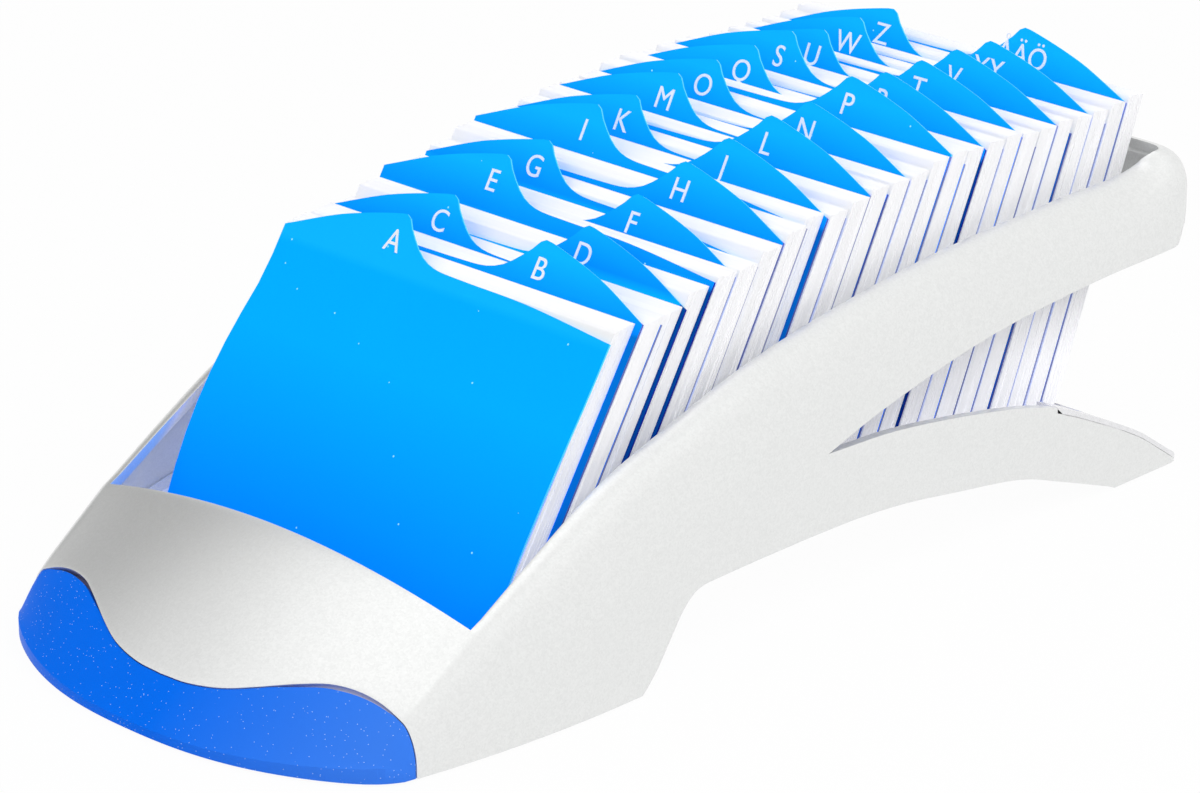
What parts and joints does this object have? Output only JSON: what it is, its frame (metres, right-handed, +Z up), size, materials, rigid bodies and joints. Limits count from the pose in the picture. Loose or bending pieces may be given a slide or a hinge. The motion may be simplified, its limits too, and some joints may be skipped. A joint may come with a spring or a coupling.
{
  "type": "card index tray",
  "caption": "Arched open desk tray with a wave-shaped nose trim, holding a leaning row of index cards between lettered tab dividers that tip forward as a fan.",
  "frame": {"origin": "middle of the footprint, on the desk", "axes": "+Z up, -Y towards the nose and the reader, +X to the reader's right"},
  "size_m": [0.134, 0.278, 0.1011],
  "materials": {
    "silver_paint": "silver metallic paint, satin",
    "blue_sparkle": "blue with fine sparkle, gloss",
    "tray_silver": "silver, satin",
    "blue_polypropylene": "translucent blue sheet, fine matt grain",
    "white_card": "uncoated white card",
    "grey_rubber": "matt"
  },
  "bodies": {
    "stand": {"frame": "silver_paint", "front_trim": "blue_sparkle", "inner_tray": "tray_silver", "foot_front_left": "grey_rubber", "foot_front_right": "grey_rubber", "foot_rear_left": "grey_rubber", "foot_rear_right": "grey_rubber"},
    "divider_A": {"divider_A": "blue_polypropylene"},
    "cards_A": {"cards_A": "white_card"},
    "divider_B": {"divider_B": "blue_polypropylene"},
    "cards_B": {"cards_B": "white_card"},
    "divider_C": {"divider_C": "blue_polypropylene"},
    "cards_C": {"cards_C": "white_card"},
    "divider_D": {"divider_D": "blue_polypropylene"},
    "cards_D": {"cards_D": "white_card"},
    "divider_E": {"divider_E": "blue_polypropylene"},
    "cards_E": {"cards_E": "white_card"},
    "divider_F": {"divider_F": "blue_polypropylene"},
    "cards_F": {"cards_F": "white_card"},
    "divider_G": {"divider_G": "blue_polypropylene"},
    "cards_G": {"cards_G": "white_card"},
    "divider_H": {"divider_H": "blue_polypropylene"},
    "cards_H": {"cards_H": "white_card"},
    "divider_I": {"divider_I": "blue_polypropylene"},
    "cards_I": {"cards_I": "white_card"},
    "divider_J": {"divider_J": "blue_polypropylene"},
    "cards_J": {"cards_J": "white_card"},
    "divider_K": {"divider_K": "blue_polypropylene"},
    "cards_K": {"cards_K": "white_card"},
    "divider_L": {"divider_L": "blue_polypropylene"},
    "cards_L": {"cards_L": "white_card"},
    "divider_M": {"divider_M": "blue_polypropylene"},
    "cards_M": {"cards_M": "white_card"},
    "divider_N": {"divider_N": "blue_polypropylene"},
    "cards_N": {"cards_N": "white_card"},
    "divider_O": {"divider_O": "blue_polypropylene"},
    "cards_O": {"cards_O": "white_card"},
    "divider_P": {"divider_P": "blue_polypropylene"},
    "cards_P": {"cards_P": "white_card"},
    "divider_Q": {"divider_Q": "blue_polypropylene"},
    "cards_Q": {"cards_Q": "white_card"},
    "divider_R": {"divider_R": "blue_polypropylene"},
    "cards_R": {"cards_R": "white_card"},
    "divider_S": {"divider_S": "blue_polypropylene"},
    "cards_S": {"cards_S": "white_card"},
    "divider_T": {"divider_T": "blue_polypropylene"},
    "cards_T": {"cards_T": "white_card"},
    "divider_U": {"divider_U": "blue_polypropylene"},
    "cards_U": {"cards_U": "white_card"},
    "divider_V": {"divider_V": "blue_polypropylene"},
    "cards_V": {"cards_V": "white_card"},
    "divider_W": {"divider_W": "blue_polypropylene"},
    "cards_W": {"cards_W": "white_card"},
    "divider_XY": {"divider_XY": "blue_polypropylene"},
    "cards_XY": {"cards_XY": "white_card"},
    "divider_Z": {"divider_Z": "blue_polypropylene"},
    "cards_Z": {"cards_Z": "white_card"},
    "divider_accents": {"divider_accents": "blue_polypropylene"},
    "cards_accents": {"cards_accents": "white_card"}
  },
  "joints": [
    {"name": "divider_A_tip", "type": "hinge", "parent": "stand", "child": "divider_A", "pos_m": [0, -0.08249, 0.0166], "axis": [1, 0, 0], "range_deg": [0, 58.4]},
    {"name": "cards_A_tip", "type": "hinge", "parent": "stand", "child": "cards_A", "pos_m": [0, -0.07826, 0.01728], "axis": [1, 0, 0], "range_deg": [0, 57]},
    {"name": "divider_B_tip", "type": "hinge", "parent": "stand", "child": "divider_B", "pos_m": [0, -0.07408, 0.01793], "axis": [1, 0, 0], "range_deg": [0, 56.2]},
    {"name": "cards_B_tip", "type": "hinge", "parent": "stand", "child": "cards_B", "pos_m": [0, -0.06993, 0.01855], "axis": [1, 0, 0], "range_deg": [0, 55.2]},
    {"name": "divider_C_tip", "type": "hinge", "parent": "stand", "child": "divider_C", "pos_m": [0, -0.06581, 0.01913], "axis": [1, 0, 0], "range_deg": [0, 54.1]},
    {"name": "cards_C_tip", "type": "hinge", "parent": "stand", "child": "cards_C", "pos_m": [0, -0.06172, 0.01969], "axis": [1, 0, 0], "range_deg": [0, 53]},
    {"name": "divider_D_tip", "type": "hinge", "parent": "stand", "child": "divider_D", "pos_m": [0, -0.05766, 0.02022], "axis": [1, 0, 0], "range_deg": [0, 51.9]},
    {"name": "cards_D_tip", "type": "hinge", "parent": "stand", "child": "cards_D", "pos_m": [0, -0.05363, 0.02072], "axis": [1, 0, 0], "range_deg": [0, 50.8]},
    {"name": "divider_E_tip", "type": "hinge", "parent": "stand", "child": "divider_E", "pos_m": [0, -0.04963, 0.02119], "axis": [1, 0, 0], "range_deg": [0, 49.8]},
    {"name": "cards_E_tip", "type": "hinge", "parent": "stand", "child": "cards_E", "pos_m": [0, -0.04566, 0.02163], "axis": [1, 0, 0], "range_deg": [0, 48.7]},
    {"name": "divider_F_tip", "type": "hinge", "parent": "stand", "child": "divider_F", "pos_m": [0, -0.04172, 0.02205], "axis": [1, 0, 0], "range_deg": [0, 47.6]},
    {"name": "cards_F_tip", "type": "hinge", "parent": "stand", "child": "cards_F", "pos_m": [0, -0.0378, 0.02244], "axis": [1, 0, 0], "range_deg": [0, 46.5]},
    {"name": "divider_G_tip", "type": "hinge", "parent": "stand", "child": "divider_G", "pos_m": [0, -0.03391, 0.02281], "axis": [1, 0, 0], "range_deg": [0, 45.5]},
    {"name": "cards_G_tip", "type": "hinge", "parent": "stand", "child": "cards_G", "pos_m": [0, -0.03004, 0.02315], "axis": [1, 0, 0], "range_deg": [0, 44.4]},
    {"name": "divider_H_tip", "type": "hinge", "parent": "stand", "child": "divider_H", "pos_m": [0, -0.0262, 0.02346], "axis": [1, 0, 0], "range_deg": [0, 43.3]},
    {"name": "cards_H_tip", "type": "hinge", "parent": "stand", "child": "cards_H", "pos_m": [0, -0.02238, 0.02375], "axis": [1, 0, 0], "range_deg": [0, 42.2]},
    {"name": "divider_I_tip", "type": "hinge", "parent": "stand", "child": "divider_I", "pos_m": [0, -0.01859, 0.02402], "axis": [1, 0, 0], "range_deg": [0, 41.2]},
    {"name": "cards_I_tip", "type": "hinge", "parent": "stand", "child": "cards_I", "pos_m": [0, -0.01481, 0.02426], "axis": [1, 0, 0], "range_deg": [0, 40.1]},
    {"name": "divider_J_tip", "type": "hinge", "parent": "stand", "child": "divider_J", "pos_m": [0, -0.01106, 0.02448], "axis": [1, 0, 0], "range_deg": [0, 39]},
    {"name": "cards_J_tip", "type": "hinge", "parent": "stand", "child": "cards_J", "pos_m": [0, -0.00733, 0.02468], "axis": [1, 0, 0], "range_deg": [0, 37.9]},
    {"name": "divider_K_tip", "type": "hinge", "parent": "stand", "child": "divider_K", "pos_m": [0, -0.00362, 0.02486], "axis": [1, 0, 0], "range_deg": [0, 36.9]},
    {"name": "cards_K_tip", "type": "hinge", "parent": "stand", "child": "cards_K", "pos_m": [0, 0.00007, 0.02502], "axis": [1, 0, 0], "range_deg": [0, 35.8]},
    {"name": "divider_L_tip", "type": "hinge", "parent": "stand", "child": "divider_L", "pos_m": [0, 0.00375, 0.02515], "axis": [1, 0, 0], "range_deg": [0, 34.7]},
    {"name": "cards_L_tip", "type": "hinge", "parent": "stand", "child": "cards_L", "pos_m": [0, 0.0074, 0.02526], "axis": [1, 0, 0], "range_deg": [0, 33.6]},
    {"name": "divider_M_tip", "type": "hinge", "parent": "stand", "child": "divider_M", "pos_m": [0, 0.01103, 0.02535], "axis": [1, 0, 0], "range_deg": [0, 32.6]},
    {"name": "cards_M_tip", "type": "hinge", "parent": "stand", "child": "cards_M", "pos_m": [0, 0.01465, 0.02542], "axis": [1, 0, 0], "range_deg": [0, 31.5]},
    {"name": "divider_N_tip", "type": "hinge", "parent": "stand", "child": "divider_N", "pos_m": [0, 0.01825, 0.02548], "axis": [1, 0, 0], "range_deg": [0, 30.4]},
    {"name": "cards_N_tip", "type": "hinge", "parent": "stand", "child": "cards_N", "pos_m": [0, 0.02183, 0.02551], "axis": [1, 0, 0], "range_deg": [0, 29.3]},
    {"name": "divider_O_tip", "type": "hinge", "parent": "stand", "child": "divider_O", "pos_m": [0, 0.0254, 0.02552], "axis": [1, 0, 0], "range_deg": [0, 28.3]},
    {"name": "cards_O_tip", "type": "hinge", "parent": "stand", "child": "cards_O", "pos_m": [0, 0.02894, 0.02551], "axis": [1, 0, 0], "range_deg": [0, 27.2]},
    {"name": "divider_P_tip", "type": "hinge", "parent": "stand", "child": "divider_P", "pos_m": [0, 0.03248, 0.02549], "axis": [1, 0, 0], "range_deg": [0, 26.1]},
    {"name": "cards_P_tip", "type": "hinge", "parent": "stand", "child": "cards_P", "pos_m": [0, 0.03599, 0.02544], "axis": [1, 0, 0], "range_deg": [0, 25]},
    {"name": "divider_Q_tip", "type": "hinge", "parent": "stand", "child": "divider_Q", "pos_m": [0, 0.0395, 0.02538], "axis": [1, 0, 0], "range_deg": [0, 24]},
    {"name": "cards_Q_tip", "type": "hinge", "parent": "stand", "child": "cards_Q", "pos_m": [0, 0.04299, 0.0253], "axis": [1, 0, 0], "range_deg": [0, 22.9]},
    {"name": "divider_R_tip", "type": "hinge", "parent": "stand", "child": "divider_R", "pos_m": [0, 0.04646, 0.0252], "axis": [1, 0, 0], "range_deg": [0, 21.8]},
    {"name": "cards_R_tip", "type": "hinge", "parent": "stand", "child": "cards_R", "pos_m": [0, 0.04992, 0.02508], "axis": [1, 0, 0], "range_deg": [0, 20.7]},
    {"name": "divider_S_tip", "type": "hinge", "parent": "stand", "child": "divider_S", "pos_m": [0, 0.05336, 0.02494], "axis": [1, 0, 0], "range_deg": [0, 19.7]},
    {"name": "cards_S_tip", "type": "hinge", "parent": "stand", "child": "cards_S", "pos_m": [0, 0.0568, 0.02479], "axis": [1, 0, 0], "range_deg": [0, 18.6]},
    {"name": "divider_T_tip", "type": "hinge", "parent": "stand", "child": "divider_T", "pos_m": [0, 0.06021, 0.02462], "axis": [1, 0, 0], "range_deg": [0, 17.5]},
    {"name": "cards_T_tip", "type": "hinge", "parent": "stand", "child": "cards_T", "pos_m": [0, 0.06362, 0.02443], "axis": [1, 0, 0], "range_deg": [0, 16.4]},
    {"name": "divider_U_tip", "type": "hinge", "parent": "stand", "child": "divider_U", "pos_m": [0, 0.06702, 0.02423], "axis": [1, 0, 0], "range_deg": [0, 15.4]},
    {"name": "cards_U_tip", "type": "hinge", "parent": "stand", "child": "cards_U", "pos_m": [0, 0.0704, 0.02401], "axis": [1, 0, 0], "range_deg": [0, 14.3]},
    {"name": "divider_V_tip", "type": "hinge", "parent": "stand", "child": "divider_V", "pos_m": [0, 0.07377, 0.02377], "axis": [1, 0, 0], "range_deg": [0, 13.2]},
    {"name": "cards_V_tip", "type": "hinge", "parent": "stand", "child": "cards_V", "pos_m": [0, 0.07712, 0.02352], "axis": [1, 0, 0], "range_deg": [0, 12.1]},
    {"name": "divider_W_tip", "type": "hinge", "parent": "stand", "child": "divider_W", "pos_m": [0, 0.08047, 0.02325], "axis": [1, 0, 0], "range_deg": [0, 11.1]},
    {"name": "cards_W_tip", "type": "hinge", "parent": "stand", "child": "cards_W", "pos_m": [0, 0.08381, 0.02297], "axis": [1, 0, 0], "range_deg": [0, 10]},
    {"name": "divider_XY_tip", "type": "hinge", "parent": "stand", "child": "divider_XY", "pos_m": [0, 0.08713, 0.02266], "axis": [1, 0, 0], "range_deg": [0, 8.9]},
    {"name": "cards_XY_tip", "type": "hinge", "parent": "stand", "child": "cards_XY", "pos_m": [0, 0.09045, 0.02235], "axis": [1, 0, 0], "range_deg": [0, 7.8]},
    {"name": "divider_Z_tip", "type": "hinge", "parent": "stand", "child": "divider_Z", "pos_m": [0, 0.09375, 0.02201], "axis": [1, 0, 0], "range_deg": [0, 6.8]},
    {"name": "cards_Z_tip", "type": "hinge", "parent": "stand", "child": "cards_Z", "pos_m": [0, 0.09705, 0.02167], "axis": [1, 0, 0], "range_deg": [0, 5.7]},
    {"name": "divider_accents_tip", "type": "hinge", "parent": "stand", "child": "divider_accents", "pos_m": [0, 0.10033, 0.0213], "axis": [1, 0, 0], "range_deg": [0, 4.6]},
    {"name": "cards_accents_tip", "type": "hinge", "parent": "stand", "child": "cards_accents", "pos_m": [0, 0.1036, 0.02092], "axis": [1, 0, 0], "range_deg": [0, 3.5]}
  ],
  "couplings": [
    {"joint": "divider_A_tip", "follows": "cards_A_tip", "ratio": 1.0189},
    {"joint": "divider_B_tip", "follows": "cards_A_tip", "ratio": 0.9811},
    {"joint": "cards_B_tip", "follows": "cards_A_tip", "ratio": 0.9623},
    {"joint": "divider_C_tip", "follows": "cards_A_tip", "ratio": 0.9434},
    {"joint": "cards_C_tip", "follows": "cards_A_tip", "ratio": 0.9245},
    {"joint": "divider_D_tip", "follows": "cards_A_tip", "ratio": 0.9057},
    {"joint": "cards_D_tip", "follows": "cards_A_tip", "ratio": 0.8868},
    {"joint": "divider_E_tip", "follows": "cards_A_tip", "ratio": 0.8679},
    {"joint": "cards_E_tip", "follows": "cards_A_tip", "ratio": 0.8491},
    {"joint": "divider_F_tip", "follows": "cards_A_tip", "ratio": 0.8302},
    {"joint": "cards_F_tip", "follows": "cards_A_tip", "ratio": 0.8113},
    {"joint": "divider_G_tip", "follows": "cards_A_tip", "ratio": 0.7924},
    {"joint": "cards_G_tip", "follows": "cards_A_tip", "ratio": 0.7736},
    {"joint": "divider_H_tip", "follows": "cards_A_tip", "ratio": 0.7547},
    {"joint": "cards_H_tip", "follows": "cards_A_tip", "ratio": 0.7358},
    {"joint": "divider_I_tip", "follows": "cards_A_tip", "ratio": 0.717},
    {"joint": "cards_I_tip", "follows": "cards_A_tip", "ratio": 0.6981},
    {"joint": "divider_J_tip", "follows": "cards_A_tip", "ratio": 0.6792},
    {"joint": "cards_J_tip", "follows": "cards_A_tip", "ratio": 0.6604},
    {"joint": "divider_K_tip", "follows": "cards_A_tip", "ratio": 0.6415},
    {"joint": "cards_K_tip", "follows": "cards_A_tip", "ratio": 0.6226},
    {"joint": "divider_L_tip", "follows": "cards_A_tip", "ratio": 0.6038},
    {"joint": "cards_L_tip", "follows": "cards_A_tip", "ratio": 0.5849},
    {"joint": "divider_M_tip", "follows": "cards_A_tip", "ratio": 0.566},
    {"joint": "cards_M_tip", "follows": "cards_A_tip", "ratio": 0.5472},
    {"joint": "divider_N_tip", "follows": "cards_A_tip", "ratio": 0.5283},
    {"joint": "cards_N_tip", "follows": "cards_A_tip", "ratio": 0.5094},
    {"joint": "divider_O_tip", "follows": "cards_A_tip", "ratio": 0.4905},
    {"joint": "cards_O_tip", "follows": "cards_A_tip", "ratio": 0.4717},
    {"joint": "divider_P_tip", "follows": "cards_A_tip", "ratio": 0.4528},
    {"joint": "cards_P_tip", "follows": "cards_A_tip", "ratio": 0.4339},
    {"joint": "divider_Q_tip", "follows": "cards_A_tip", "ratio": 0.4151},
    {"joint": "cards_Q_tip", "follows": "cards_A_tip", "ratio": 0.3962},
    {"joint": "divider_R_tip", "follows": "cards_A_tip", "ratio": 0.3773},
    {"joint": "cards_R_tip", "follows": "cards_A_tip", "ratio": 0.3585},
    {"joint": "divider_S_tip", "follows": "cards_A_tip", "ratio": 0.3396},
    {"joint": "cards_S_tip", "follows": "cards_A_tip", "ratio": 0.3207},
    {"joint": "divider_T_tip", "follows": "cards_A_tip", "ratio": 0.3019},
    {"joint": "cards_T_tip", "follows": "cards_A_tip", "ratio": 0.283},
    {"joint": "divider_U_tip", "follows": "cards_A_tip", "ratio": 0.2641},
    {"joint": "cards_U_tip", "follows": "cards_A_tip", "ratio": 0.2453},
    {"joint": "divider_V_tip", "follows": "cards_A_tip", "ratio": 0.2264},
    {"joint": "cards_V_tip", "follows": "cards_A_tip", "ratio": 0.2075},
    {"joint": "divider_W_tip", "follows": "cards_A_tip", "ratio": 0.1886},
    {"joint": "cards_W_tip", "follows": "cards_A_tip", "ratio": 0.1698},
    {"joint": "divider_XY_tip", "follows": "cards_A_tip", "ratio": 0.1509},
    {"joint": "cards_XY_tip", "follows": "cards_A_tip", "ratio": 0.132},
    {"joint": "divider_Z_tip", "follows": "cards_A_tip", "ratio": 0.1132},
    {"joint": "cards_Z_tip", "follows": "cards_A_tip", "ratio": 0.0943},
    {"joint": "divider_accents_tip", "follows": "cards_A_tip", "ratio": 0.0754},
    {"joint": "cards_accents_tip", "follows": "cards_A_tip", "ratio": 0.0566}
  ]
}
